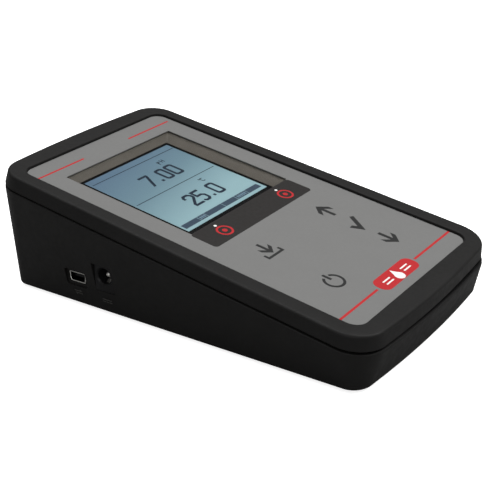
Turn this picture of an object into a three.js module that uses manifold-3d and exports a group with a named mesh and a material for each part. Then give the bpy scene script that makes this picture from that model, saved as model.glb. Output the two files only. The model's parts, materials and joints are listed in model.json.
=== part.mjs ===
// Benchtop water analyser (pH and temperature meter) in a wedge-shaped two-part plastic case.
// Millimetres, +X to the right, +Y to the back, +Z up, standing on its feet at z = 0.
// The case frame has y = 0 under the front edge of the keypad foil and z = 0 on the case's underside.
// The face frame is the sloping top: u across, v up the slope from the foil's front edge, and w
// square to it, with w = 0 on top of the foil.

import * as THREE from "three";
import { mergeVertices } from "three/addons/utils/BufferGeometryUtils.js";
import Module from "manifold-3d";

const wasm = await Module();
wasm.setup();

// ---------------------------------------------------------------- driving dimensions

const slope = THREE.MathUtils.degToRad(10.6);
const faceHeight = 20.1; // top of the foil's front edge above the underside
const foilHalf = 38.5;
const foilLength = 143.5;
const foilCorner = 4.5;
const foilThick = 0.3;
const rimRise = 1.0; // rim of the top cover above the foil
const seamDepth = 4.85; // middle of the parting line below the foil
const seamGap = 0.5;
const seamChamfer = 0.25;
const edgeRadius = 1.2; // of the rim and of the sole
const wall = 2.4;
const fit = 0.3; // clearance between neighbouring pieces
const film = 0.1; // clearance between the keypad's layers
const footStand = 1.0;
const socketReach = 10.5; // how far the electrode socket stands out of the back

const windowHalf = 29.6;
const windowFront = 73.4;
const windowBack = 130.2;
const screenHalf = 25;
const screenFront = 76.9;
const screenBack = 127.2;
const screenDepth = 3.2;

const keyRadius = 5.7;
const softKeyRadius = 4.2;
const keyTravel = 0.3; // how far a key sinks before its dome has snapped flat
const keySites = {
  softkey_left: [-18.9, 65.6, softKeyRadius],
  softkey_right: [18.9, 65.6, softKeyRadius],
  key_up: [18.9, 47.9, keyRadius],
  key_enter: [18.5, 34.8, keyRadius],
  key_down: [18.8, 21.6, keyRadius],
  key_save: [-19.2, 47.8, keyRadius],
  key_power: [-19.5, 20.9, keyRadius],
};

// Plan outlines of the case: at the parting line, at the rim on top, and around the sole. Each is
// a rounded rectangle whose front and back edges bow outwards.
const seamOutline = {
  halfFront: 45.9,
  halfBack: 45.2,
  front: -8.3,
  back: 152.0,
  bowFront: 1.4,
  bowBack: 1.0,
  cornerFront: 12.4,
  cornerBack: 11.0,
};
const rimOutline = {
  halfFront: 45.5,
  halfBack: 44.6,
  front: -7.0,
  back: 151.2,
  bowFront: 1.4,
  bowBack: 1.0,
  cornerFront: 12.2,
  cornerBack: 10.6,
};
const soleOutline = {
  halfFront: 43.2,
  halfBack: 40.5,
  front: -3.6,
  back: 152.4,
  bowFront: 1.6,
  bowBack: 0.3,
  cornerFront: 7.0,
  cornerBack: 6.0,
};

const floorThick = 2.4;
const boardTop = 9.1;
const boardThick = 1.6;
const usbSite = [116.1, 11.3]; // y and z of the middle of the data socket's mouth
const usbMouth = 41.5; // distance of that mouth from the middle of the case
const usbRecess = [5.2, 3.4]; // half width and half height of the recess that the socket sits in
const jackSite = [101.6, 15.4]; // y and z of the power inlet's bore
const jackMouth = 42.3;
const jackBore = 3.1;
const electrodeSite = [-16, 25]; // x and z on the back wall
const thermometerSite = [12, 25];
const backWall = 151.9; // outer face of the back wall at the sockets' height

// ---------------------------------------------------------------- materials

const casePlastic = ["#1f1f20", 0.55, 0.0];
const rubber = ["#151515", 0.9, 0.0];
const overlay = ["#858583", 0.5, 0.0];
const overlayDark = ["#3c3b39", 0.4, 0.0];
const tintedPane = ["#9fb2ba", 0.1, 0.0];
const framePlastic = ["#625f5a", 0.5, 0.0];
const liquidCrystal = ["#7f9fae", 0.2, 0.0];
const whitePlastic = ["#e8e8e2", 0.4, 0.0];
const circuitBoard = ["#1d5a38", 0.5, 0.0];
const polyester = ["#c9c6b4", 0.4, 0.0];
const steel = ["#b9b9b4", 0.3, 1.0];
const zincSteel = ["#a6a8aa", 0.35, 1.0];
const brass = ["#c9a24d", 0.3, 1.0];
const blackPlastic = ["#141414", 0.45, 0.0];
const cableSheath = ["#2a2a2c", 0.6, 0.0];
const labelFilm = ["#b5b6b4", 0.4, 0.0];

function material([color, roughness, metalness]) {
  return new THREE.MeshStandardMaterial({ color, roughness, metalness });
}

// ---------------------------------------------------------------- solids and shapes

function toSolid(geometry) {
  const bare = geometry.clone();
  bare.deleteAttribute("normal");
  bare.deleteAttribute("uv");
  const merged = mergeVertices(bare, 1e-4);
  const corners = merged.index.array;
  const triVerts = [];
  for (let i = 0; i < corners.length; i += 3) {
    const [a, b, c] = corners.slice(i, i + 3);
    if (a !== b && b !== c && c !== a) triVerts.push(a, b, c);
  }
  const mesh = new wasm.Mesh({
    numProp: 3,
    vertProperties: Float32Array.from(merged.attributes.position.array),
    triVerts: Uint32Array.from(triVerts),
  });
  return new wasm.Manifold(mesh);
}

function toGeometry(solid) {
  const mesh = solid.getMesh();
  const geometry = new THREE.BufferGeometry();
  geometry.setAttribute("position", new THREE.BufferAttribute(mesh.vertProperties, 3));
  geometry.setIndex(new THREE.BufferAttribute(mesh.triVerts, 1));
  return geometry;
}

// Cuts and joins in the order given: each stage is { cut: [...] } or { join: [...] }.
function carve(first, ...stages) {
  let solid = toSolid(first);
  for (const { cut = [], join = [] } of stages) {
    for (const piece of cut) solid = solid.subtract(toSolid(piece));
    for (const piece of join) solid = solid.add(toSolid(piece));
  }
  return toGeometry(solid);
}

// What of a piece lies inside another.
function clipped(piece, limit) {
  return toGeometry(toSolid(piece).intersect(toSolid(limit)));
}

function block([x0, x1], [y0, y1], [z0, z1]) {
  const box = new THREE.BoxGeometry(x1 - x0, y1 - y0, z1 - z0);
  return box.translate((x0 + x1) / 2, (y0 + y1) / 2, (z0 + z1) / 2);
}

// A round bar along z.
function bar(radius, [z0, z1], x = 0, y = 0, sides = 24) {
  const cylinder = new THREE.CylinderGeometry(radius, radius, z1 - z0, sides);
  return cylinder.rotateX(Math.PI / 2).translate(x, y, (z0 + z1) / 2);
}

// A turned piece about z, from [radius, z] pairs that run upwards on the outside.
function turned(profile, sides = 24) {
  const points = profile.map(([radius, z]) => new THREE.Vector2(radius, z));
  return new THREE.LatheGeometry(points, sides).rotateX(Math.PI / 2);
}

// A turned piece that is hollow right through: its profile closes on itself.
function turnedTube(profile, sides = 24) {
  return turned([...profile, profile[0]], sides);
}

function roundedRectangle(x0, x1, y0, y1, radius) {
  const shape = new THREE.Shape();
  shape.absarc(x1 - radius, y0 + radius, radius, -Math.PI / 2, 0);
  shape.absarc(x1 - radius, y1 - radius, radius, 0, Math.PI / 2);
  shape.absarc(x0 + radius, y1 - radius, radius, Math.PI / 2, Math.PI);
  shape.absarc(x0 + radius, y0 + radius, radius, Math.PI, 1.5 * Math.PI);
  shape.closePath();
  return shape;
}

// A round hole as an even polygon that a disc of the radius given just fits into.
function circlePath(x, y, radius, sides = 20) {
  const reach = radius / Math.cos(Math.PI / sides);
  const points = [];
  for (let i = 0; i < sides; i += 1) {
    const angle = (2 * Math.PI * i) / sides;
    points.push(new THREE.Vector2(x + reach * Math.cos(angle), y + reach * Math.sin(angle)));
  }
  return new THREE.Path(points);
}

function sheet(shape, [w0, w1], curveSegments = 6) {
  const settings = { depth: w1 - w0, bevelEnabled: false, curveSegments };
  return new THREE.ExtrudeGeometry(shape, settings).translate(0, 0, w0);
}

// The case's plan outline, a rounded rectangle with bowed ends, moved inwards by `inset`.
function outlinePoints(outline, inset, arcSteps = 6, bowSteps = 4) {
  const points = [];
  const corner = (x, y, radius, startAngle) => {
    for (let i = 0; i <= arcSteps; i += 1) {
      const angle = startAngle + (Math.PI / 2) * (i / arcSteps);
      points.push(new THREE.Vector2(x + radius * Math.cos(angle), y + radius * Math.sin(angle)));
    }
  };
  const bowedEdge = (halfLength, y, bow, direction) => {
    for (let i = 1; i < bowSteps; i += 1) {
      const along = -1 + (2 * i) / bowSteps;
      points.push(new THREE.Vector2(direction * along * halfLength, y + bow * (1 - along * along)));
    }
  };
  const frontRadius = outline.cornerFront - inset;
  const backRadius = outline.cornerBack - inset;
  const frontX = outline.halfFront - outline.cornerFront;
  const backX = outline.halfBack - outline.cornerBack;
  const frontY = outline.front + outline.cornerFront;
  const backY = outline.back - outline.cornerBack;
  bowedEdge(frontX, outline.front + inset, -outline.bowFront, 1);
  corner(frontX, frontY, frontRadius, -Math.PI / 2);
  corner(backX, backY, backRadius, 0);
  bowedEdge(backX, outline.back - inset, outline.bowBack, -1);
  corner(-backX, backY, backRadius, Math.PI / 2);
  corner(-frontX, frontY, frontRadius, Math.PI);
  return points;
}

function faceLoop(outline, inset, w) {
  return outlinePoints(outline, inset).map((point) => new THREE.Vector3(point.x, point.y, w));
}

// A face-frame point in the case frame.
function faceToCase(point) {
  const turnedPoint = point.clone().applyAxisAngle(new THREE.Vector3(1, 0, 0), slope);
  return turnedPoint.add(new THREE.Vector3(0, 0, faceHeight));
}

function tiltedLoop(outline, inset, w) {
  return faceLoop(outline, inset, w).map(faceToCase);
}

function levelLoop(outline, inset, z) {
  return outlinePoints(outline, inset).map((point) => new THREE.Vector3(point.x, point.y, z));
}

// A closed skin through loops of equal length, listed from the lowest to the highest.
function loft(loops) {
  const count = loops[0].length;
  const positions = loops.flat().flatMap((point) => [point.x, point.y, point.z]);
  const index = [];
  for (let level = 0; level + 1 < loops.length; level += 1) {
    for (let i = 0; i < count; i += 1) {
      const low = level * count + i;
      const lowNext = level * count + ((i + 1) % count);
      index.push(low, lowNext, lowNext + count, low, lowNext + count, low + count);
    }
  }
  const flat = (loop) => loop.map((point) => new THREE.Vector2(point.x, point.y));
  const top = (loops.length - 1) * count;
  for (const [a, b, c] of THREE.ShapeUtils.triangulateShape(flat(loops[0]), [])) {
    index.push(a, c, b);
  }
  for (const [a, b, c] of THREE.ShapeUtils.triangulateShape(flat(loops.at(-1)), [])) {
    index.push(top + a, top + b, top + c);
  }
  const geometry = new THREE.BufferGeometry();
  geometry.setAttribute("position", new THREE.Float32BufferAttribute(positions, 3));
  geometry.setIndex(index);
  return geometry;
}

// A ring that follows the seam, between two insets and two heights of the face frame.
function seamRing([outerInset, innerInset], [w0, w1]) {
  const outer = loft([faceLoop(seamOutline, outerInset, w0), faceLoop(seamOutline, outerInset, w1)]);
  const inner = loft([
    faceLoop(seamOutline, innerInset, w0 - 1),
    faceLoop(seamOutline, innerInset, w1 + 1),
  ]);
  return carve(outer, { cut: [inner] });
}

function onFace(geometry) {
  return geometry.rotateX(slope).translate(0, 0, faceHeight);
}

// Turns a piece made along z so that it runs along the case's y, with its top to the back.
function towardsBack(geometry, [x, z]) {
  return geometry.rotateX(-Math.PI / 2).translate(x, backWall, z);
}

// Turns a piece made along z so that it runs along the case's x, with its top to the left.
function towardsLeft(geometry, [y, z], mouth) {
  return geometry.rotateY(-Math.PI / 2).translate(-mouth, y, z);
}

// ---------------------------------------------------------------- the group

const caseGroup = new THREE.Group();
const frontmost = seamOutline.front - seamOutline.bowFront;
const bandFoot = seamDepth - seamGap / 2 - seamChamfer;
const frontY = frontmost * Math.cos(slope) + bandFoot * Math.sin(slope);
caseGroup.position.set(0, -(frontY + backWall + socketReach) / 2, footStand);

const faceGroup = new THREE.Group();
faceGroup.position.z = faceHeight;
faceGroup.rotation.x = slope;
caseGroup.add(faceGroup);

function add(parent, name, geometry, finish) {
  const mesh = new THREE.Mesh(geometry, material(finish));
  mesh.name = name;
  parent.add(mesh);
  return mesh;
}

// ---------------------------------------------------------------- shared places

const caseScrewSites = [
  [-31.5, 6.5],
  [31.5, 6.5],
  [-31.5, 138],
  [31.5, 138],
];
const bossEnd = -8.0; // the cover's screw bosses reach down to here
const postTop = bossEnd - fit; // and the base's posts come up to here
const postWeb = 3.0;
const shankRadius = 1.4;
const pilotRadius = shankRadius + fit;

const boardHalf = 38.3;
const boardFront = 40;
const boardBack = 137;
const boardScrewSites = [
  [-29, 46],
  [29, 46],
  [-29, 88],
  [29, 131],
];
const footSites = [
  [-29, 22],
  [29, 22],
  [-29, 130],
  [29, 130],
];

const foilGap = 0.25; // between the foil and the rim around it
const plateTop = -1.4; // floor of the recess that the keypad is laid in
const plateBottom = -3.2;
const spacerLayer = [-0.9, -0.4];
const circuitLayer = [-1.3, -1.0];
const layerInset = 0.5; // the keypad's hidden layers end this far inside the foil's edge
const layerWindow = 2.2; // and their windows are this much larger all round
const frameMargin = 1.3; // the display frame reaches this far under the foil
const frameWall = 2.1;
const frameLayer = [-2.9, -0.9];
const frameFloor = -2.3;
const darkBorder = 0.9; // black edge of the glass that shows around the screen
const glassThick = 0.9;
const backlightLayer = [-7.3, -5.3];
const displayBoardTop = -7.6;
const displayScrewSites = [
  [-35.5, 78],
  [35.5, 126],
];
const displayBoardOutline = [-38.5, 38.5, 70, 134, 1.5];
const displayPilotRadius = 1.3;
const standoffRadius = 2.6;
const tailHalf = 5;
const tailSlot = [54.6, 56.2];
const tailDrop = -9.6;
const tailEnd = 76;
const tailThick = 0.3;

const bossRadius = 3.6;
const headRadius = 2.8;
const footRadius = 4.6;
const footSeat = 0.9;
const labelRecess = 0.4;
const boardPilotRadius = 1.35;
const boardPostRadius = 2.8;
const labelOutline = [-24, 24, 52, 92, 2];
const usbHalf = 3.85;
const usbNarrow = 2.9; // half width along the bottom
const usbRise = 1.95; // half height
const jackWidth = 9;
const jackTop = jackSite[1] + 4.6;
const electrodeShank = 4.9;
const thermometerShank = 6;
const flangeBack = 0.5;
const nutSpan = [-5.6, -3];

// The lip of the base stands up inside the cover, with the gasket on top of it.
const lipOuter = 1.0;
const lipInner = 2.2;
const lipTop = -seamDepth + 1.0;
const gasketTop = -seamDepth + 2.0;

// Routes of the inner leads, from the sockets' backs to the main board, and of the ribbon (y, z).
const electrodeLeadRoute = [
  [-16, 140.2, 25],
  [-16, 137, 23.5],
  [-15.6, 135.6, 17.6],
  [-16, 133.6, boardTop + 4],
  [-16, 127, boardTop + 3.5],
];
const thermometerLeadRoute = [
  [12, 145.2, 25],
  [12, 140, 24.5],
  [13, 136, 19],
  [14, 133, boardTop + 3.5],
  [14, 128, boardTop + 1.4],
];
const ribbonRoute = [
  [96, boardTop + 0.6],
  [101, boardTop + 1.1],
  [103, boardTop + 5],
  [99, 20],
  [99, 25],
  [103, 28.9],
];

// ---------------------------------------------------------------- case

const filletAngles = [0, 30, 60, 90].map((angle) => THREE.MathUtils.degToRad(angle));

function around(middle, half) {
  return [middle - half, middle + half];
}

function buildTopCover() {
  const seamTop = seamGap / 2 - seamDepth;
  const loops = [faceLoop(seamOutline, seamChamfer, seamTop), faceLoop(seamOutline, 0, seamTop + seamChamfer)];
  for (const angle of filletAngles) {
    const inset = edgeRadius * (1 - Math.cos(angle));
    const drop = edgeRadius * (1 - Math.sin(angle));
    loops.push(faceLoop(rimOutline, inset, rimRise - drop));
  }
  const cavity = loft([
    faceLoop(seamOutline, wall, -seamDepth - 5),
    faceLoop(rimOutline, wall, plateBottom),
  ]);
  const boss = ([x, y]) => bar(bossRadius, [bossEnd, plateBottom + 0.5], x, y, 16);
  const pilot = ([x, y]) => bar(pilotRadius, [bossEnd - 1, plateTop - 0.8], x, y, 12);
  const standoff = ([x, y]) => bar(standoffRadius, [displayBoardTop + fit, plateBottom + 0.5], x, y, 16);
  const standoffPilot = ([x, y]) => bar(displayPilotRadius, [displayBoardTop - 1, plateBottom - 1], x, y, 12);
  return carve(
    loft(loops),
    {
      cut: [
        cavity,
        sheet(foilOutline(foilGap), [plateTop, rimRise + 1], 5),
        sheet(windowOutline(frameMargin + fit), [plateBottom - 1, plateTop + 1], 3),
        seamRing([lipOuter - fit, wall + fit], [-seamDepth - 1, gasketTop + fit]),
        block(around(0, tailHalf + fit), tailSlot, [plateBottom - 1, plateTop + 1]),
      ],
    },
    { join: [...caseScrewSites.map(boss), ...displayScrewSites.map(standoff)] },
    { cut: [...caseScrewSites.map(pilot), ...displayScrewSites.map(standoffPilot)] },
  );
}

function buildBaseHousing() {
  const seamBottom = -seamGap / 2 - seamDepth;
  const outer = loft([
    levelLoop(soleOutline, edgeRadius, 0),
    levelLoop(soleOutline, 0.3 * edgeRadius, 0.3 * edgeRadius),
    levelLoop(soleOutline, -0.1, edgeRadius),
    tiltedLoop(seamOutline, 0, seamBottom - 0.5),
    tiltedLoop(seamOutline, 0.4, seamBottom),
  ]);
  const cavity = loft([
    levelLoop(soleOutline, wall - 0.4, floorThick),
    tiltedLoop(seamOutline, wall, seamBottom + 0.1),
    tiltedLoop(seamOutline, wall, seamBottom + 3),
  ]);
  const lip = onFace(seamRing([lipOuter, lipInner], [seamBottom - 1.5, lipTop]));
  const post = ([x, y]) => onFace(bar(4, [-70, postTop], x, y, 16));
  const counterbore = ([x, y]) => onFace(bar(headRadius + 0.6, [-70, postTop - postWeb], x, y, 20));
  const clearance = ([x, y]) => onFace(bar(pilotRadius + 0.1, [-70, postTop + 1], x, y, 12));
  const boardPost = ([x, y]) => bar(boardPostRadius, [1, boardTop - boardThick - fit], x, y, 16);
  const boardPilot = ([x, y]) => bar(boardPilotRadius, [floorThick + 0.6, boardTop], x, y, 12);
  const footRecess = ([x, y]) => bar(footRadius + fit, [-1, footSeat + fit], x, y);
  const posts = caseScrewSites.map((site) => clipped(post(site), outer));
  const electrodeHole = towardsBack(bar(electrodeShank + fit, [-8, 8]), electrodeSite);
  const thermometerHole = towardsBack(bar(thermometerShank + fit, [-8, 8]), thermometerSite);
  const [usbY, usbZ] = usbSite;
  const [recessHalf, recessRise] = usbRecess;
  const usbRecessCut = block([-50, -usbMouth], around(usbY, recessHalf), around(usbZ, recessRise));
  const usbHole = block([-50, -34], around(usbY, usbHalf + fit), around(usbZ, usbRise + fit));
  const jackHole = block(
    [-50, -34],
    around(jackSite[0], jackWidth / 2 + fit),
    [boardTop + film, jackTop + fit],
  );
  return carve(
    outer,
    { cut: [cavity] },
    { join: [lip, ...posts, ...boardScrewSites.map(boardPost)] },
    {
      cut: [
        ...caseScrewSites.map(counterbore),
        ...caseScrewSites.map(clearance),
        ...boardScrewSites.map(boardPilot),
        ...footSites.map(footRecess),
        electrodeHole,
        thermometerHole,
        usbRecessCut,
        usbHole,
        jackHole,
        sheet(roundedRectangle(...labelOutline), [-1, labelRecess]),
      ],
    },
  );
}

function buildGasket() {
  return seamRing([lipOuter + 0.1, lipInner - 0.1], [lipTop + 0.1, gasketTop]);
}

// ---------------------------------------------------------------- keypad

function foilOutline(margin) {
  const half = foilHalf + margin;
  return roundedRectangle(-half, half, -margin, foilLength + margin, foilCorner + margin);
}

function windowOutline(margin, corner = 0.5 + margin) {
  return roundedRectangle(
    -windowHalf - margin,
    windowHalf + margin,
    windowFront - margin,
    windowBack + margin,
    corner,
  );
}

function buildFoil() {
  const shape = foilOutline(0);
  shape.holes.push(windowOutline(0));
  for (const [x, y, radius] of Object.values(keySites)) {
    shape.holes.push(circlePath(x, y, radius + film));
  }
  return sheet(shape, [-foilThick, 0], 5);
}

// The layer that holds the domes clear of the foil; a key dips into its hole as it is pressed.
function buildSpacer() {
  const shape = foilOutline(-layerInset);
  shape.holes.push(windowOutline(layerWindow));
  for (const [x, y, radius] of Object.values(keySites)) {
    shape.holes.push(circlePath(x, y, radius + film));
  }
  return sheet(shape, spacerLayer, 4);
}

// The switch layer: a sheet whose tail folds down through the slot in the cover.
function buildCircuit() {
  const shape = foilOutline(-layerInset);
  shape.holes.push(windowOutline(layerWindow));
  const [slotFront, slotBack] = tailSlot;
  const front = (slotFront + slotBack - tailThick) / 2;
  const back = front + tailThick;
  shape.holes.push(roundedRectangle(-tailHalf - fit, tailHalf + fit, back, slotBack + 2, 0.4));
  const [layerBottom] = circuitLayer;
  const down = block(around(0, tailHalf), [front, back], [tailDrop, layerBottom + tailThick / 2]);
  const under = block(around(0, tailHalf), [front, tailEnd], [tailDrop - tailThick, tailDrop]);
  return carve(sheet(shape, circuitLayer, 5), { join: [down, under] });
}

function buildKey(radius) {
  return bar(radius - film, [-foilThick, 0], 0, 0, 20);
}

// A stamped dome that clicks flat: a thin cap, whose crown the key meets at the end of its travel.
function buildDome(radius) {
  const foot = radius - 1.4;
  const thick = 0.1;
  const bottom = circuitLayer[1] + film / 2;
  const rise = -foilThick - keyTravel - film / 2 - bottom - thick;
  const steps = [0, 0.4, 0.75, 1];
  const crown = (share) => bottom + thick + rise * Math.cos((share * Math.PI) / 2);
  const upper = steps.map((share) => [foot * share, crown(share)]);
  const lower = steps.map((share) => [foot * share, crown(share) - thick]);
  return turned([...lower, ...upper.reverse()], 14);
}

// ---------------------------------------------------------------- display

function screenOutline(margin, corner) {
  return roundedRectangle(
    -screenHalf - margin,
    screenHalf + margin,
    screenFront - margin,
    screenBack + margin,
    corner,
  );
}

// A tray that hangs under the foil and frames the screen.
function buildFrame() {
  const [bottom] = frameLayer;
  const mouth = sheet(windowOutline(frameMargin - frameWall, fit), [frameFloor, 1], 3);
  const opening = sheet(screenOutline(darkBorder, fit), [bottom - 1, 1], 2);
  return carve(sheet(windowOutline(frameMargin), frameLayer, 3), { cut: [mouth, opening] });
}

// Two panes of glass, the lower one longer so that its contact ledge shows at the front.
function buildLcd() {
  const edge = 1.4;
  const ledge = 2.2;
  const wide = around(0, screenHalf + edge);
  const back = screenBack + edge;
  const middle = -screenDepth - glassThick;
  const upper = block(wide, [screenFront - edge, back], [middle - film, -screenDepth]);
  const lower = block(wide, [screenFront - edge - ledge, back], [middle - glassThick, middle]);
  return carve(upper, { join: [lower] });
}

// The light guide, with the bar of lamps along its front edge.
function buildBacklight() {
  const [bottom, top] = backlightLayer;
  const guideFront = screenFront - 2.5;
  const lamps = block(around(0, 20), [guideFront - 2.2, guideFront + 0.6], [bottom + 0.2, top - 0.3]);
  return carve(sheet(screenOutline(2.5, 1), backlightLayer, 3), { join: [lamps] });
}

function buildDisplayBoard() {
  const shape = roundedRectangle(...displayBoardOutline);
  for (const [x, y] of displayScrewSites) shape.holes.push(circlePath(x, y, 1.4));
  return sheet(shape, [displayBoardTop - boardThick, displayBoardTop], 4);
}

// ---------------------------------------------------------------- screws and feet

// A pan-head screw with a cross recess, head down: z = 0 is under the head, the shank rises from it.
function buildScrew(shank, head, headHeight, length) {
  const body = turned([
    [0, -headHeight],
    [head * 0.6, -headHeight],
    [head, -headHeight * 0.6],
    [head, 0],
    [shank, 0],
    [shank, length - shank],
    [shank * 0.3, length],
    [0, length],
  ], 12);
  const slotHalf = head * 0.14;
  const reach = head * 0.55;
  const depth = [-headHeight - 1, -headHeight * 0.4];
  const along = block([-reach, reach], [-slotHalf, slotHalf], depth);
  const across = block([-slotHalf, slotHalf], [-reach, reach], depth);
  return carve(body, { cut: [along, across] });
}

function buildFoot() {
  return turned([
    [0, -footStand],
    [footRadius - 0.6, -footStand],
    [footRadius - 0.1, -footStand + 0.5],
    [footRadius, footSeat],
    [0, footSeat],
  ], 24);
}

// ---------------------------------------------------------------- sockets

// The socket's D-shaped metal shell, with its mouth at z = 0 and its depth below.
function usbProfile(inset) {
  const half = usbHalf - inset;
  const narrow = usbNarrow - 0.8 * inset;
  const rise = usbRise - inset;
  const shape = new THREE.Shape();
  shape.moveTo(-rise, -narrow);
  shape.lineTo(-0.2, -half);
  shape.lineTo(rise, -half);
  shape.lineTo(rise, half);
  shape.lineTo(-0.2, half);
  shape.lineTo(-rise, narrow);
  shape.closePath();
  return shape;
}

function buildUsbShell() {
  const outer = sheet(usbProfile(0), [-9.2, 0]);
  const inner = sheet(usbProfile(0.4), [-8.6, 1]);
  return carve(outer, { cut: [inner] });
}

function buildUsbTongue() {
  return block([-0.35, 0.75], [-2.4, 2.4], [-8.3, -1.2]);
}

function buildJackBody() {
  const centre = jackSite[1];
  const box = block([boardTop + fit - centre, jackTop - centre], [-jackWidth / 2, jackWidth / 2], [-14.2, 0]);
  const chamfer = turned([
    [0, -0.4],
    [jackBore, -0.4],
    [jackBore + 0.5, 0.1],
    [0, 0.1],
  ]);
  return carve(box, { cut: [bar(jackBore, [-10.5, 1]), chamfer] });
}

function buildJackPin() {
  return turned([
    [0, -10.2],
    [1.05, -10.2],
    [1.05, -2.6],
    [0.8, -2.0],
    [0.35, -1.75],
    [0, -1.7],
  ], 16);
}

// The spring leaf along the bottom of the barrel, bowed towards the pin.
function buildJackLeaf() {
  const shape = new THREE.Shape();
  shape.moveTo(-2.75, -9.8);
  shape.quadraticCurveTo(-1.3, -5, -2.5, -2);
  shape.lineTo(-2.75, -2);
  shape.quadraticCurveTo(-1.7, -5, -3.0, -9.8);
  shape.closePath();
  const leaf = new THREE.ExtrudeGeometry(shape, { depth: 1.6, bevelEnabled: false, curveSegments: 6 });
  return leaf.translate(0, 0, -0.8).rotateX(Math.PI / 2);
}

// A bayonet socket: threaded shank through the wall, flange outside, sleeve with two lugs.
function buildElectrodeBody() {
  const sleeve = turnedTube([
    [2.6, -7],
    [electrodeShank, -7],
    [electrodeShank, flangeBack],
    [7, flangeBack],
    [7, flangeBack + 1.8],
    [4.8, flangeBack + 1.8],
    [4.8, socketReach - 0.3],
    [4.6, socketReach],
    [4.1, socketReach],
    [4.1, 3],
    [2.6, 3],
  ]);
  const lugs = new THREE.CylinderGeometry(1, 1, 11.4, 12).rotateZ(Math.PI / 2);
  const filled = carve(lugs.translate(0, 0, 6.6), { cut: [bar(4.4, [0, 20])] });
  return carve(sleeve, { join: [filled] });
}

function buildElectrodeInsulator() {
  return turnedTube([
    [1.2, -8.5],
    [2.3, -8.5],
    [2.3, 8.6],
    [1.2, 8.6],
  ], 20);
}

function buildElectrodeContact() {
  return turned([
    [0, -11],
    [0.9, -11],
    [0.9, 8.2],
    [0.5, 8.4],
    [0, 8.4],
  ], 12);
}

function hexagonNut(across, bore, [z0, z1]) {
  const radius = across / Math.sqrt(3);
  const corners = [0, 1, 2, 3, 4, 5].map((i) =>
    new THREE.Vector2(radius, 0).rotateAround(new THREE.Vector2(), (i * Math.PI) / 3),
  );
  const shape = new THREE.Shape(corners);
  shape.holes.push(circlePath(0, 0, bore));
  return sheet(shape, [z0, z1], 12);
}

// A round multi-pole socket: a cup with a flange outside the wall and the contacts at its bottom.
function buildThermometerBody() {
  return turnedTube([
    [4.8, -6],
    [thermometerShank, -6],
    [thermometerShank, flangeBack],
    [7.8, flangeBack],
    [7.8, flangeBack + 1.2],
    [7.2, flangeBack + 1.8],
    [4.8, flangeBack + 1.8],
  ]);
}

function buildThermometerInsulator() {
  const disc = new THREE.Shape();
  disc.absarc(0, 0, 4.5, 0, 2 * Math.PI);
  for (let i = 0; i < 4; i += 1) {
    const angle = Math.PI / 4 + (i * Math.PI) / 2;
    disc.holes.push(circlePath(2.4 * Math.cos(angle), 2.4 * Math.sin(angle), 0.5, 8));
  }
  return sheet(disc, [-6, -3.6], 6);
}

// ---------------------------------------------------------------- electronics

function buildMainBoard() {
  const shape = roundedRectangle(-boardHalf, boardHalf, boardFront, boardBack, 1);
  for (const [x, y] of boardScrewSites) shape.holes.push(circlePath(x, y, 1.5));
  return sheet(shape, [boardTop - boardThick, boardTop], 4);
}

function buildProcessor() {
  const body = block([-7, 7], [-7, 7], [0.2, 1.6]);
  const notch = bar(0.7, [1.4, 2], -5.4, 5.4, 12);
  return carve(body, { cut: [notch] });
}

// A folded tin lid over the high-impedance input stage, open at the bottom.
function buildInputShield() {
  return carve(
    block([-13, 13], [-10, 10], [0.2, 7]),
    { cut: [block([-12.6, 12.6], [-9.6, 9.6], [-1, 6.6]), block([-5.2, 1.2], [8, 12], [1.4, 5.8])] },
  );
}

function buildBuzzer() {
  return turned([
    [0, 0.2],
    [6, 0.2],
    [6, 5.4],
    [5.6, 5.8],
    [1.2, 5.8],
    [1.2, 4.8],
    [0, 4.8],
  ]);
}

// A lead that keeps its round section along a smooth curve through the points given.
function lead(points, radius, steps) {
  const route = new THREE.CatmullRomCurve3(points.map((point) => new THREE.Vector3(...point)));
  const section = new THREE.Shape().absarc(0, 0, radius, 0, 2 * Math.PI);
  const settings = { steps, extrudePath: route, bevelEnabled: false, curveSegments: 4 };
  return new THREE.ExtrudeGeometry(section, settings);
}

// A flat ribbon between the main board and the display board, folded into an S.
function buildRibbon() {
  const centre = new THREE.CatmullRomCurve3(ribbonRoute.map(([y, z]) => new THREE.Vector3(0, y, z)));
  const count = 14;
  const upper = [];
  const lower = [];
  for (let i = 0; i <= count; i += 1) {
    const point = centre.getPoint(i / count);
    const along = centre.getTangent(i / count);
    const side = new THREE.Vector2(-along.z, along.y).multiplyScalar(0.2);
    upper.push(new THREE.Vector2(point.y + side.x, point.z + side.y));
    lower.push(new THREE.Vector2(point.y - side.x, point.z - side.y));
  }
  const shape = new THREE.Shape([...lower, ...upper.reverse()]);
  const strip = new THREE.ExtrudeGeometry(shape, { depth: 20, bevelEnabled: false });
  return strip.rotateX(Math.PI / 2).rotateZ(Math.PI / 2).translate(-10, 0, 0);
}

// ---------------------------------------------------------------- assembly

add(caseGroup, "base_housing", buildBaseHousing(), casePlastic);
add(faceGroup, "top_cover", buildTopCover(), casePlastic);
add(faceGroup, "case_gasket", buildGasket(), rubber);

add(faceGroup, "keypad_foil", buildFoil(), overlay);
add(faceGroup, "keypad_spacer", buildSpacer(), polyester);
add(faceGroup, "keypad_circuit", buildCircuit(), polyester);
for (const [name, [x, y, radius]] of Object.entries(keySites)) {
  const isSoft = radius === softKeyRadius;
  add(faceGroup, name, buildKey(radius), isSoft ? overlayDark : overlay).position.set(x, y, 0);
  const domeName = name.replace("softkey", "dome_soft").replace("key_", "dome_");
  add(faceGroup, domeName, buildDome(radius), steel).position.set(x, y, 0);
}

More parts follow.
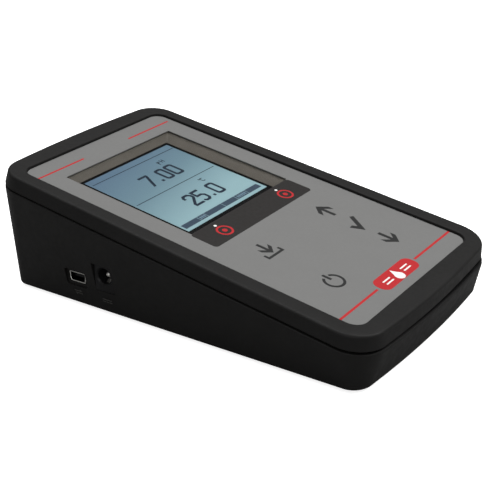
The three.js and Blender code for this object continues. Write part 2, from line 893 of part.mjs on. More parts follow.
add(faceGroup, "display_window", sheet(windowOutline(-film), [-foilThick, 0], 3), tintedPane);
add(faceGroup, "display_frame", buildFrame(), framePlastic);
add(faceGroup, "lcd_glass", buildLcd(), liquidCrystal);
add(faceGroup, "lcd_backlight", buildBacklight(), whitePlastic);
add(faceGroup, "display_board", buildDisplayBoard(), circuitBoard);

add(caseGroup, "usb_shell", towardsLeft(buildUsbShell(), usbSite, usbMouth), steel);
add(caseGroup, "usb_tongue", towardsLeft(buildUsbTongue(), usbSite, usbMouth), blackPlastic);
add(caseGroup, "dc_jack_body", towardsLeft(buildJackBody(), jackSite, jackMouth), blackPlastic);
add(caseGroup, "dc_jack_pin", towardsLeft(buildJackPin(), jackSite, jackMouth), steel);
add(caseGroup, "dc_jack_leaf", towardsLeft(buildJackLeaf(), jackSite, jackMouth), steel);

add(caseGroup, "electrode_socket", towardsBack(buildElectrodeBody(), electrodeSite), zincSteel);
add(caseGroup, "electrode_insulator", towardsBack(buildElectrodeInsulator(), electrodeSite), whitePlastic);
add(caseGroup, "electrode_contact", towardsBack(buildElectrodeContact(), electrodeSite), brass);
const electrodeNut = hexagonNut(12.6, electrodeShank + film, nutSpan);
add(caseGroup, "electrode_nut", towardsBack(electrodeNut, electrodeSite), zincSteel);
add(caseGroup, "thermometer_socket", towardsBack(buildThermometerBody(), thermometerSite), blackPlastic);
const thermometerInsulator = towardsBack(buildThermometerInsulator(), thermometerSite);
add(caseGroup, "thermometer_insulator", thermometerInsulator, whitePlastic);
const thermometerNut = hexagonNut(15.5, thermometerShank + film, nutSpan);
add(caseGroup, "thermometer_nut", towardsBack(thermometerNut, thermometerSite), blackPlastic);

add(caseGroup, "main_board", buildMainBoard(), circuitBoard);
add(caseGroup, "processor", buildProcessor(), blackPlastic).position.set(12, 84, boardTop);
add(caseGroup, "input_shield", buildInputShield(), zincSteel).position.set(-14, 122, boardTop);
add(caseGroup, "buzzer", buildBuzzer(), blackPlastic).position.set(20, 58, boardTop);
add(caseGroup, "display_ribbon", buildRibbon(), polyester);
add(caseGroup, "electrode_lead", lead(electrodeLeadRoute, 1.1, 16), cableSheath);
add(caseGroup, "thermometer_lead", lead(thermometerLeadRoute, 1.1, 16), cableSheath);

caseScrewSites.forEach(([x, y], i) => {
  const screw = buildScrew(shankRadius, headRadius, 2, 8.8);
  add(faceGroup, `case_screw_${i + 1}`, screw, zincSteel).position.set(x, y, postTop - postWeb - film);
});
displayScrewSites.forEach(([x, y], i) => {
  const screw = buildScrew(1, 2, 1.4, 5);
  const seat = displayBoardTop - boardThick - film;
  add(faceGroup, `display_screw_${i + 1}`, screw, zincSteel).position.set(x, y, seat);
});
boardScrewSites.forEach(([x, y], i) => {
  const screw = buildScrew(1.1, 2.3, 1.6, 4.6);
  const mesh = add(caseGroup, `board_screw_${i + 1}`, screw, zincSteel);
  mesh.position.set(x, y, boardTop + film);
  mesh.rotation.x = Math.PI;
});
footSites.forEach(([x, y], i) => {
  add(caseGroup, `rubber_foot_${i + 1}`, buildFoot(), rubber).position.set(x, y, 0);
});
const [labelLeft, labelRight, labelFront, labelBack, labelCorner] = labelOutline;
const labelShape = roundedRectangle(
  labelLeft + fit,
  labelRight - fit,
  labelFront + fit,
  labelBack - fit,
  labelCorner - fit,
);
add(caseGroup, "rating_label", sheet(labelShape, [film, labelRecess - film], 4), labelFilm);

const analyser = new THREE.Group();
analyser.add(caseGroup);

export default analyser;
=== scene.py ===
import json
import math

import bmesh
import bpy
from mathutils import Matrix, Vector
from mathutils.bvhtree import BVHTree

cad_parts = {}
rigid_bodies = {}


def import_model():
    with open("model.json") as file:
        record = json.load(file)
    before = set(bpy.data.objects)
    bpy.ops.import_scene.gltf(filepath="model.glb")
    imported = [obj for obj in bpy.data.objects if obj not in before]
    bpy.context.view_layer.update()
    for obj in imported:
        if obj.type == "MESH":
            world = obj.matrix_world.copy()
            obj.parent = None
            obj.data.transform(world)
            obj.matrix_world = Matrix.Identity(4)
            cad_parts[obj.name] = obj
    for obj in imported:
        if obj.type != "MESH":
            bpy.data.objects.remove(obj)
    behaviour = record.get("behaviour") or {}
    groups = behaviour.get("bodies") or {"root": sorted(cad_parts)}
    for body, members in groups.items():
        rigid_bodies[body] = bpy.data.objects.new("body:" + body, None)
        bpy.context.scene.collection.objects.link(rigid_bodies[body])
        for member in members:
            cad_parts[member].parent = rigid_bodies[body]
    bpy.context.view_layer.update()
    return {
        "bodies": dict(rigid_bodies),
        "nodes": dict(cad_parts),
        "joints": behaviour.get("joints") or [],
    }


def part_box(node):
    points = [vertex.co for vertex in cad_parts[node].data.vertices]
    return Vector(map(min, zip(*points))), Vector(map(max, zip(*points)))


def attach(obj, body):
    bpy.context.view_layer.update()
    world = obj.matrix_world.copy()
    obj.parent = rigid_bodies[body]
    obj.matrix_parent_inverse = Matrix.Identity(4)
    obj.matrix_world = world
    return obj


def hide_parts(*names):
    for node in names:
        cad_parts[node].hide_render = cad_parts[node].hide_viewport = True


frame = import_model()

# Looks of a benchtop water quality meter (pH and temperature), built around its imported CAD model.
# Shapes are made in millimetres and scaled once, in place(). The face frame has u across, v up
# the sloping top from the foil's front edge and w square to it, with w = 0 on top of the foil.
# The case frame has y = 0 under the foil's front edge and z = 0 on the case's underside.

MM = 0.001

# ---------------------------------------------------------------- frames and sizes from the CAD


def axes_matrix(x_axis, y_axis, z_axis, origin):
    matrix = Matrix((x_axis, y_axis, z_axis)).transposed().to_4x4()
    matrix.translation = origin
    return matrix


W_AXIS = -Vector(frame["joints"][0]["axis"]).normalized()
V_AXIS = Vector((0, W_AXIS.z, -W_AXIS.y))
foil_corners = [vertex.co for vertex in frame["nodes"]["keypad_foil"].data.vertices]
FACE_ORIGIN = V_AXIS * min(corner.dot(V_AXIS) for corner in foil_corners)
FACE_ORIGIN += W_AXIS * max(corner.dot(W_AXIS) for corner in foil_corners)
FACE = axes_matrix(Vector((1, 0, 0)), V_AXIS, W_AXIS, FACE_ORIGIN)
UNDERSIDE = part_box("base_housing")[0].z
CASE = Matrix.Translation((0, FACE_ORIGIN.y, UNDERSIDE))
FACE_TO_CASE = CASE.inverted() @ FACE


def face_box(node):
    """Lowest and highest u, v and w of a CAD node, in millimetres."""
    to_face = FACE.inverted()
    corners = [to_face @ vertex.co / MM for vertex in frame["nodes"][node].data.vertices]
    low = Vector(min(corner[i] for corner in corners) for i in range(3))
    high = Vector(max(corner[i] for corner in corners) for i in range(3))
    return low, high


def case_centre(node):
    low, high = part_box(node)
    return CASE.inverted() @ ((low + high) / 2) / MM


foil_low, foil_high = face_box("keypad_foil")
FOIL_HALF = foil_high.x
FOIL_LENGTH = foil_high.y
FOIL_THICK = -foil_low.z
FOIL_CORNER = 4.5
FOIL_GAP = 0.25
FILM = 0.1  # clearance that the CAD leaves around the pane and the keys
pane_low, pane_high = face_box("display_window")
WINDOW_HALF = pane_high.x + FILM
WINDOW_FRONT = pane_low.y - FILM
WINDOW_BACK = pane_high.y + FILM
# The display opening is longer at the front than the CAD's, so that the black edge of the glass shows.
# At the front, this black is painted shade for the gap under the foil's edge.
VIEW_FRONT = WINDOW_FRONT - 1.3
LCD_TOP = face_box("lcd_glass")[1].z
SCREEN_HALF = 25.0
SCREEN_FRONT = 76.9
SCREEN_BACK = 127.2
RIM_RISE = 1.0
WALL = 2.4
EDGE_RADIUS = 1.2
SEAM_DEPTH = 4.85
SEAM_GAP = 0.5
SEAM_TOP = SEAM_GAP / 2 - SEAM_DEPTH
# The lip inside the seam, inset from the seam's outline where the seam is narrow and where it is wide.
LIP_OUTER = (1.0, 2.0)
LIP_INNER = (2.2, 2.8)
LIP_TOP = -SEAM_DEPTH + 1.0
HAIRLINE = 0.006  # gap around a keytop
PRINT = 0.02  # thickness of the printed ink
BITE = 0.004  # how far the ink reaches into the film below it
SHARP_ANGLE = 32  # edges that turn less, in degrees, are shaded smooth

# Half width and end of each plan outline, its bow and its corner radius, at the front and the back.
SEAM = dict(half=(45.9, 45.2), end=(-8.3, 152.0), bow=(1.4, 1.0), corner=(12.4, 11.0))
RIM = dict(half=(45.5, 44.6), end=(-7.0, 151.2), bow=(1.4, 1.0), corner=(12.2, 10.6))
SOLE = dict(half=(43.2, 40.5), end=(-3.6, 152.4), bow=(1.6, 0.3), corner=(7.0, 6.0))

KEYS = {
    name: (face_box(name)[0] + face_box(name)[1]) / 2
    for name in frame["bodies"]
    if name.startswith(("key_", "softkey_"))
}


def key_radius(name):
    return (face_box(name)[1].x - face_box(name)[0].x) / 2 + FILM


# ---------------------------------------------------------------- outlines


def arc(x, y, radius, start, end, steps):
    """Points of an arc, with its angles in degrees."""
    points = []
    for i in range(steps + 1):
        angle = math.radians(start + (end - start) * i / steps)
        points.append((x + radius * math.cos(angle), y + radius * math.sin(angle)))
    return points


def circle(x, y, radius, steps=48):
    return arc(x, y, radius, 0, 360, steps)[:-1]


def rounded(x0, x1, y0, y1, radius, steps=8):
    points = arc(x1 - radius, y0 + radius, radius, -90, 0, steps)
    points += arc(x1 - radius, y1 - radius, radius, 0, 90, steps)
    points += arc(x0 + radius, y1 - radius, radius, 90, 180, steps)
    points += arc(x0 + radius, y0 + radius, radius, 180, 270, steps)
    return points


def box_outline(x0, x1, y0, y1):
    return [(x0, y0), (x1, y0), (x1, y1), (x0, y1)]


def bowed_outline(outline, inset=0.0, arc_steps=14, bow_steps=24):
    """A rounded rectangle whose front and back edges bow outwards, moved inwards by inset."""
    half_front, half_back = outline["half"]
    front, back = outline["end"]
    bow_front, bow_back = outline["bow"]
    corner_front, corner_back = outline["corner"]
    front_x, back_x = half_front - corner_front, half_back - corner_back
    front_y, back_y = front + corner_front, back - corner_back
    front_radius, back_radius = corner_front - inset, corner_back - inset
    shares = [-1 + 2 * i / bow_steps for i in range(1, bow_steps)]
    points = [(s * front_x, front + inset - bow_front * (1 - s * s)) for s in shares]
    points += arc(front_x, front_y, front_radius, -90, 0, arc_steps)
    points += arc(back_x, back_y, back_radius, 0, 90, arc_steps)
    points += [(-s * back_x, back - inset + bow_back * (1 - s * s)) for s in shares]
    points += arc(-back_x, back_y, back_radius, 90, 180, arc_steps)
    points += arc(-front_x, front_y, front_radius, 180, 270, arc_steps)
    return points


def straight_outline(half, front, back, corner):
    return dict(half=(half, half), end=(front, back), bow=(0, 0), corner=(corner, corner))


def share_between(value, start, end):
    return min(1.0, max(0.0, (value - start) / (end - start)))


def seam_loop(narrow, wide):
    """A loop around the case at the seam, with the inset and height of `narrow` at most places.

    The seam opens out along the front, from the left corner to the inset and height of `wide` at
    the right corner.
    """
    points = []
    for plain, opened in zip(bowed_outline(SEAM, narrow[0]), bowed_outline(SEAM, wide[0])):
        share = share_between(plain[0], -60, 20) * share_between(plain[1], 20, 4)
        points.append(Vector((*plain, narrow[1])).lerp(Vector((*opened, wide[1])), share))
    return points


FOIL = straight_outline(FOIL_HALF, 0, FOIL_LENGTH, FOIL_CORNER)
WINDOW = straight_outline(WINDOW_HALF, WINDOW_FRONT, WINDOW_BACK, 0.5)
VIEW = straight_outline(WINDOW_HALF, VIEW_FRONT, WINDOW_BACK, 0.5)
FRAME = straight_outline(WINDOW_HALF + 1.3, VIEW_FRONT - 0.25, WINDOW_BACK + 1.3, 1.5)
OPENING = straight_outline(SCREEN_HALF + 0.3, VIEW_FRONT + 0.3, SCREEN_BACK + 0.3, 0.5)


def stroke(points, width):
    """The outline of a line of that width along an open path, with mitred corners."""
    path = [Vector(point) for point in points]
    left, right = [], []
    for i, point in enumerate(path):
        before = (point - path[i - 1]).normalized() if i else None
        after = (path[i + 1] - point).normalized() if i + 1 < len(path) else None
        before, after = before or after, after or before
        along = (before + after).normalized()
        across = Vector((-along.y, along.x))
        reach = width / 2 / max(0.5, across.dot(Vector((-after.y, after.x))))
        left.append(tuple(point + across * reach))
        right.append(tuple(point - across * reach))
    return right + left[::-1]


def moved(points, x, y, turn=0.0, scale=1.0):
    """The points scaled, turned by an angle in degrees, and moved to (x, y)."""
    c, s = math.cos(math.radians(turn)), math.sin(math.radians(turn))
    return [(x + scale * (c * px - s * py), y + scale * (s * px + c * py)) for px, py in points]


# ---------------------------------------------------------------- meshes, in millimetres


def linked(name, data):
    """A new object with that data, in the scene."""
    obj = bpy.data.objects.new(name, data)
    bpy.context.scene.collection.objects.link(obj)
    return obj


def evaluated(obj):
    """The mesh that an object's curve or modifier makes. The object itself is removed."""
    graph = bpy.context.evaluated_depsgraph_get()
    mesh = bpy.data.meshes.new_from_object(obj.evaluated_get(graph))
    bpy.data.objects.remove(obj)
    return mesh


def to_mesh(bm):
    bmesh.ops.recalc_face_normals(bm, faces=bm.faces)
    mesh = bpy.data.meshes.new("shape")
    bm.to_mesh(mesh)
    bm.free()
    return mesh


def skin(loops, ring=False):
    """A skin through loops of equal length, capped at its ends, or closed on itself if a ring."""
    bm = bmesh.new()
    rows = [[bm.verts.new(point) for point in loop] for loop in loops]
    pairs = list(zip(rows, rows[1:]))
    if ring:
        pairs.append((rows[-1], rows[0]))
    else:
        bm.faces.new(rows[0])
        bm.faces.new(rows[-1])
    for low, high in pairs:
        for i, corner in enumerate(low):
            j = (i + 1) % len(low)
            bm.faces.new((corner, low[j], high[j], high[i]))
    return to_mesh(bm)


def level(outline, inset, height):
    return [(x, y, height) for x, y in bowed_outline(outline, inset)]


def prism(points, bottom, top):
    return skin([[(x, y, z) for x, y in points] for z in (bottom, top)])


def lathe(profile, steps=72):
    """A turned piece about z. The profile runs from axis to axis, or closes on itself as a tube."""
    bm = bmesh.new()
    on_axis = profile[0][0] == 0
    rows = []
    for radius, z in profile:
        if radius == 0:
            rows.append([bm.verts.new((0, 0, z))] * steps)
        else:
            rows.append([bm.verts.new((x, y, z)) for x, y in circle(0, 0, radius, steps)])
    pairs = list(zip(rows, rows[1:]))
    if not on_axis:
        pairs.append((rows[-1], rows[0]))
    for low, high in pairs:
        for i in range(steps):
            j = (i + 1) % steps
            corners = list(dict.fromkeys((low[i], low[j], high[j], high[i])))
            bm.faces.new(corners)
    return to_mesh(bm)


def flat(outlines, bottom, top):
    """A flat piece from outlines; one that lies inside another is a hole in it."""
    curve = bpy.data.curves.new("outline", "CURVE")
    curve.dimensions = "2D"
    curve.fill_mode = "BOTH"
    curve.extrude = (top - bottom) / 2
    for points in outlines:
        spline = curve.splines.new("POLY")
        spline.points.add(len(points) - 1)
        for target, (x, y) in zip(spline.points, points):
            target.co = (x, y, 0, 1)
        spline.use_cyclic_u = True
    mesh = evaluated(linked("outline", curve))
    bpy.data.curves.remove(curve)
    bm = bmesh.new()
    bm.from_mesh(mesh)
    bmesh.ops.remove_doubles(bm, verts=bm.verts, dist=1e-4)
    bmesh.ops.translate(bm, verts=bm.verts, vec=(0, 0, (top + bottom) / 2))
    bpy.data.meshes.remove(mesh)
    return to_mesh(bm)


def placed(mesh, matrix):
    mesh.transform(matrix)
    return mesh


def combined(meshes):
    bm = bmesh.new()
    for mesh in meshes:
        bm.from_mesh(mesh)
    return to_mesh(bm)


def modified(mesh, kind, **settings):
    """The mesh with one modifier applied to it."""
    holder = linked("solid", mesh)
    modifier = holder.modifiers.new("change", kind)
    for key, value in settings.items():
        setattr(modifier, key, value)
    return evaluated(holder)


def boolean(mesh, cutters, operation="DIFFERENCE"):
    cutter = linked("cutter", combined(cutters))
    result = modified(mesh, "BOOLEAN", operation=operation, solver="EXACT", object=cutter)
    bpy.data.objects.remove(cutter)
    return result


def bevelled(mesh, width):
    angle = math.radians(35)
    return modified(mesh, "BEVEL", width=width, segments=2, limit_method="ANGLE", angle_limit=angle)


def place(name, mesh, matrix, material, body="case", replaces=()):
    """Makes a piece that rides on a body from a mesh in millimetres and the frame it was made in."""
    mesh.transform(matrix @ Matrix.Scale(MM, 4))
    mesh.materials.clear()
    mesh.materials.append(material)
    mesh.shade_smooth()
    mesh.set_sharp_from_angle(angle=math.radians(SHARP_ANGLE))
    piece = linked(name, mesh)
    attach(piece, body)
    if replaces:
        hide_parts(*replaces)
    return piece


# ---------------------------------------------------------------- materials


def linear(r, g, b):
    """A colour given as 0 to 255 on a screen, as Blender's linear values."""
    values = [c / 255 for c in (r, g, b)]
    return [c / 12.92 if c <= 0.04045 else ((c + 0.055) / 1.055) ** 2.4 for c in values] + [1.0]


def shaded(colour, factor):
    return [channel * factor for channel in colour[:3]] + [1.0]


class Nodes:
    """A new material's node tree, with short ways to add and join nodes."""

    def __init__(self, name):
        self.material = bpy.data.materials.new(name)
        self.material.use_nodes = True
        self.tree = self.material.node_tree
        self.shader = self.tree.nodes["Principled BSDF"]
        self.place = self.add("ShaderNodeTexCoord").outputs["Object"]

    def add(self, kind, **settings):
        node = self.tree.nodes.new(kind)
        for key, value in settings.items():
            setattr(node, key, value)
        return node

    def join(self, output, socket):
        self.tree.links.new(output, socket)

    def noise(self, size, detail=3.0):
        """A noise whose grains are about that many millimetres across."""
        node = self.add("ShaderNodeTexNoise")
        node.inputs["Scale"].default_value = 1 / (size * MM)
        node.inputs["Detail"].default_value = detail
        self.join(self.place, node.inputs["Vector"])
        return node.outputs["Fac"]

    def ramp(self, value, stops):
        """A colour ramp through (position, colour) stops."""
        node = self.add("ShaderNodeValToRGB")
        elements = node.color_ramp.elements
        for _ in stops[2:]:
            elements.new(0.5)
        for element, (position, colour) in zip(elements, stops):
            element.position = position
            element.color = colour
        self.join(value, node.inputs["Fac"])
        return node.outputs["Color"]

    def remap(self, value, low, high, bottom, top):
        """A value stretched so that low to high becomes bottom to top."""
        node = self.add("ShaderNodeMapRange")
        limits = {"From Min": low, "From Max": high, "To Min": bottom, "To Max": top}
        for name, number in limits.items():
            node.inputs[name].default_value = number
        self.join(value, node.inputs["Value"])
        return node.outputs["Result"]

    def spread(self, value, low, high):
        """A noise value, which stays near its middle, stretched to run from low to high."""
        return self.remap(value, 0.3, 0.7, low, high)

    def even(self, socket, value):
        """Sets what is the same all over the surface."""
        self.shader.inputs[socket].default_value = value

    def relief(self, value, height):
        """Bumps as deep as height, in millimetres."""
        node = self.add("ShaderNodeBump")
        node.inputs["Distance"].default_value = height * MM
        self.join(value, node.inputs["Height"])
        self.join(node.outputs["Normal"], self.shader.inputs["Normal"])


def surface(name, colour, roughness, grain, relief, mottle=0.06, metallic=0.0, specular=0.5):
    """The common finish: a slightly uneven colour and gloss, over a fine relief."""
    blotch, gloss_grains = 9.0, 6
    nodes = Nodes(name)
    uneven = nodes.ramp(
        nodes.noise(blotch, 4.0),
        [(0.3, shaded(colour, 1 - mottle)), (0.7, shaded(colour, 1 + mottle))],
    )
    nodes.join(uneven, nodes.shader.inputs["Base Color"])
    rough = nodes.spread(nodes.noise(grain * gloss_grains), roughness - 0.05, roughness + 0.05)
    nodes.join(rough, nodes.shader.inputs["Roughness"])
    nodes.relief(nodes.noise(grain, 2.0), relief)
    nodes.even("Metallic", metallic)
    nodes.even("Specular IOR Level", specular)
    return nodes.material


def circuit_board(name, dark, light, share):
    """Circuit board: solder mask with a pattern of copper tracks showing through."""
    nodes = Nodes(name)
    tracks = nodes.add("ShaderNodeTexBrick")
    tracks.inputs["Scale"].default_value = 1 / (9 * MM)
    tracks.inputs["Mortar Size"].default_value = share
    tracks.inputs["Color1"].default_value = dark
    tracks.inputs["Color2"].default_value = shaded(dark, 1.15)
    tracks.inputs["Mortar"].default_value = light
    nodes.join(nodes.place, tracks.inputs["Vector"])
    nodes.join(tracks.outputs["Color"], nodes.shader.inputs["Base Color"])
    nodes.relief(tracks.outputs["Fac"], 0.03)
    nodes.even("Roughness", 0.35)
    return nodes.material


def screen_material():
    """The liquid crystal's ground, with painted light that brightens it towards the front right, and a
    fine dot grid.
    """
    nodes = Nodes("lcd_ground_with_painted_light")
    parts = nodes.add("ShaderNodeSeparateXYZ")
    nodes.join(nodes.place, parts.inputs["Vector"])
    ends = [(FACE @ (Vector((0, v, LCD_TOP)) * MM)).y for v in (SCREEN_BACK, SCREEN_FRONT)]
    along = nodes.remap(parts.outputs["Y"], *ends, 0, 1)
    across = nodes.remap(parts.outputs["X"], -SCREEN_HALF * MM, SCREEN_HALF * MM, 0, 0.25)
    both = nodes.add("ShaderNodeMath", operation="ADD")
    nodes.join(along, both.inputs[0])
    nodes.join(across, both.inputs[1])
    # Painted light: the ramp makes the screen brighter from back to front and to the right, as the
    # angle of view would.
    back, middle, front = linear(75, 97, 118), linear(94, 121, 133), linear(130, 160, 166)
    ground = nodes.ramp(both.outputs["Value"], [(0.0, back), (0.5, middle), (1.0, front)])
    nodes.join(ground, nodes.shader.inputs["Base Color"])
    grid = nodes.add("ShaderNodeTexBrick", offset=0.0)
    grid.inputs["Scale"].default_value = 1 / (0.4 * MM)
    grid.inputs["Brick Width"].default_value = 1.0
    grid.inputs["Row Height"].default_value = 1.0
    grid.inputs["Mortar Size"].default_value = 0.05
    nodes.join(nodes.place, grid.inputs["Vector"])
    nodes.relief(grid.outputs["Fac"], 0.002)
    nodes.even("Roughness", 0.35)
    nodes.even("Specular IOR Level", 0.2)
    return nodes.material


def pane_material():
    """A clear polyester window: nearly invisible, with a soft shine and a trace of haze."""
    nodes = Nodes("window_film")
    nodes.even("Base Color", (0.8, 0.8, 0.8, 1.0))
    haze = nodes.spread(nodes.noise(14.0), 0.001, 0.003)
    nodes.join(haze, nodes.shader.inputs["Alpha"])
    nodes.even("Roughness", 0.12)
    nodes.even("Specular IOR Level", 0.1)
    return nodes.material


case_plastic = surface("case_moulding", linear(29, 28.5, 28), 0.5, 0.35, 0.012, 0.08, specular=0.12)
overlay_grey = surface("overlay_grey", linear(112, 112, 111), 0.5, 0.25, 0.004, 0.012, specular=0.15)
overlay_dark = surface("overlay_dark", linear(38, 36, 35), 0.45, 0.25, 0.004, 0.03, specular=0.15)
ink_red = surface("ink_red", linear(172, 38, 42), 0.45, 0.25, 0.003, 0.03, specular=0.15)
ink_dark = surface("ink_dark", linear(40, 40, 40), 0.45, 0.25, 0.003, 0.03, specular=0.15)
ink_white = surface("ink_white", linear(225, 225, 222), 0.45, 0.25, 0.003, 0.02, specular=0.15)
lcd_dark = surface("lcd_dark", linear(26, 36, 50), 0.35, 0.4, 0.001, 0.04, specular=0.1)
lcd_menu = surface("lcd_menu", linear(52, 66, 80), 0.35, 0.4, 0.001, 0.04, specular=0.1)
lcd_faint = surface("lcd_faint", linear(104, 128, 142), 0.35, 0.4, 0.001, 0.04, specular=0.1)
frame_plastic = surface("frame_moulding", linear(79, 75, 68), 0.5, 0.3, 0.008, 0.04, specular=0.15)
port_sign = surface("port_sign", linear(72, 72, 70), 0.5, 0.3, 0.008, 0.05, specular=0.15)
border_black_and_painted_shade = surface("border_black_and_painted_shade", linear(8, 9, 10), 0.4, 0.3, 0.003, 0.04, specular=0.02)
rubber = surface("moulded_rubber", linear(22, 22, 22), 0.85, 0.3, 0.03, 0.1, specular=0.2)
# Near black: black rubber and plastic, and painted shade inside the USB socket and in the open part of
# the seam.
black_and_painted_shade = surface("black_and_painted_shade", linear(2, 2, 2), 0.5, 0.3, 0.002, 0.04, specular=0.03)
steel = surface("plated_steel", linear(205, 204, 200), 0.22, 0.2, 0.004, 0.05, metallic=1.0)
nickel = surface("nickel_plate", linear(222, 217, 203), 0.28, 0.2, 0.005, 0.06, metallic=1.0)
tin = surface("tinned_contact", linear(228, 227, 222), 0.42, 0.2, 0.004, 0.05, metallic=1.0)
zinc = surface("zinc_plate", linear(172, 174, 176), 0.32, 0.3, 0.008, 0.08, metallic=1.0)
brass = surface("gold_contact", linear(214, 176, 92), 0.25, 0.2, 0.004, 0.06, metallic=1.0)
black_plastic = surface("glossy_black", linear(24, 24, 25), 0.4, 0.3, 0.005, 0.1, specular=0.15)
white_plastic = surface("white_insulator", linear(228, 227, 220), 0.4, 0.4, 0.006, 0.03)
film_clear = surface("keypad_layers", linear(196, 192, 172), 0.4, 0.5, 0.004, 0.05)
sheath = surface("cable_sheath", linear(38, 38, 40), 0.6, 0.3, 0.02, 0.1)
label_film = surface("label_film", linear(178, 179, 177), 0.4, 0.3, 0.004, 0.02)
board_green = circuit_board("solder_mask", linear(24, 84, 52), linear(78, 128, 70), 0.03)
lcd_ground_with_painted_light = screen_material()
window_film = pane_material()

# ---------------------------------------------------------------- case


def build_cover():
    """One closed skin that runs from the lip's recess, over the rim and into the foil's recess."""
    plate_top, plate_bottom, hole_margin = -1.4, -3.2, 1.6
    roof = plate_bottom + 0.4
    recess_round, rim_steps, recess_steps = 0.35, 8, 4
    skirt = WALL + 0.3
    loops = [
        seam_loop((0.9, roof), (1.9, roof)),
        seam_loop((0.9, SEAM_TOP), (1.9, SEAM_TOP + 0.5)),
        seam_loop((0.35, SEAM_TOP), (1.0, SEAM_TOP + 0.5)),
        seam_loop((0, SEAM_TOP + 0.42), (0.8, SEAM_TOP + 0.75)),
    ]
    for i in range(rim_steps + 1):
        angle = math.radians(90 * i / rim_steps)
        inset = EDGE_RADIUS * (1 - math.cos(angle))
        loops.append(level(RIM, inset, RIM_RISE - EDGE_RADIUS * (1 - math.sin(angle))))
    for i in range(recess_steps + 1):
        angle = math.radians(90 * i / recess_steps)
        inset = -FOIL_GAP - recess_round * (1 - math.sin(angle))
        loops.append(level(FOIL, inset, RIM_RISE - recess_round * (1 - math.cos(angle))))
    loops += [
        level(FOIL, -FOIL_GAP, plate_top),
        level(WINDOW, -hole_margin, plate_top),
        level(WINDOW, -hole_margin, plate_bottom),
        level(SEAM, skirt, plate_bottom),
        level(SEAM, skirt, roof),
    ]
    cover = skin(loops, ring=True)
    place("cover_shell", cover, FACE, case_plastic, replaces=["top_cover"])


def from_face(points):
    """Points of the face frame, in the case frame."""
    return [FACE_TO_CASE @ (point * MM) / MM for point in points]


def towards_left(site, mouth):
    """The frame of a port in the left wall: x up, y to the back, z out of the wall."""
    origin = Vector((-mouth, site[0], site[1]))
    return axes_matrix(Vector((0, 0, 1)), Vector((0, 1, 0)), Vector((-1, 0, 0)), origin)


def towards_back(site, wall_y):
    """The frame of a socket in the back wall, with z out of the wall."""
    origin = Vector((site[0], wall_y, site[1]))
    return axes_matrix(Vector((1, 0, 0)), Vector((0, 0, -1)), Vector((0, 1, 0)), origin)


def in_case(matrix):
    """A frame given in the case frame and millimetres, as a Blender matrix."""
    metres = matrix.copy()
    metres.translation *= MM
    return CASE @ metres


def mouth_of(node):
    return -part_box(node)[0].x / MM


def port_site(node):
    centre = case_centre(node)
    return centre.y, centre.z


def socket_site(node):
    centre = case_centre(node)
    return centre.x, centre.z


USB_SITE = port_site("usb_shell")
USB_MOUTH = mouth_of("usb_shell")
USB_RECESS = (5.2, 3.4)
JACK_SITE = port_site("dc_jack_pin")
JACK_MOUTH = mouth_of("dc_jack_body")
JACK_HALF = 4.5
JACK_TOP = (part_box("dc_jack_body")[1].z - UNDERSIDE) / MM - JACK_SITE[1]
JACK_BOTTOM = (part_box("dc_jack_body")[0].z - UNDERSIDE) / MM - JACK_SITE[1]
SOCKET_REACH = 10.5
BACK_WALL = (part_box("electrode_socket")[1].y - CASE.translation.y) / MM - SOCKET_REACH
ELECTRODE_SITE = socket_site("electrode_contact")
THERMOMETER_SITE = socket_site("thermometer_socket")
USB_FRAME = towards_left(USB_SITE, USB_MOUTH)
JACK_FRAME = towards_left(JACK_SITE, JACK_MOUTH)
ELECTRODE_FRAME = towards_back(ELECTRODE_SITE, BACK_WALL)
THERMOMETER_FRAME = towards_back(THERMOMETER_SITE, BACK_WALL)


base_mesh = frame["nodes"]["base_housing"].data
BASE_TREE = BVHTree.FromPolygons(
    [vertex.co for vertex in base_mesh.vertices],
    [polygon.vertices for polygon in base_mesh.polygons],
)


def usb_outline(inset=0.0):
    """The socket's D shape, with its wide side up (x) and small round corners."""
    half, narrow, rise, corner, steps = 3.85, 3.5, 1.95, 0.3, 5
    points = arc(rise - corner, half - corner, corner, 0, 90, steps)
    points += arc(-0.5, half - corner, corner, 90, 110, steps)
    points += arc(-rise + corner, narrow - corner, corner, 110, 180, steps)
    points += [(x, -y) for x, y in reversed(points)]
    shrink = 1 - inset / rise, 1 - inset / half
    return [(x * shrink[0], y * shrink[1]) for x, y in points]


def jack_outline(margin, corner, steps=8):
    half = JACK_HALF + margin
    return rounded(JACK_BOTTOM - margin, JACK_TOP + margin, -half, half, corner, steps)


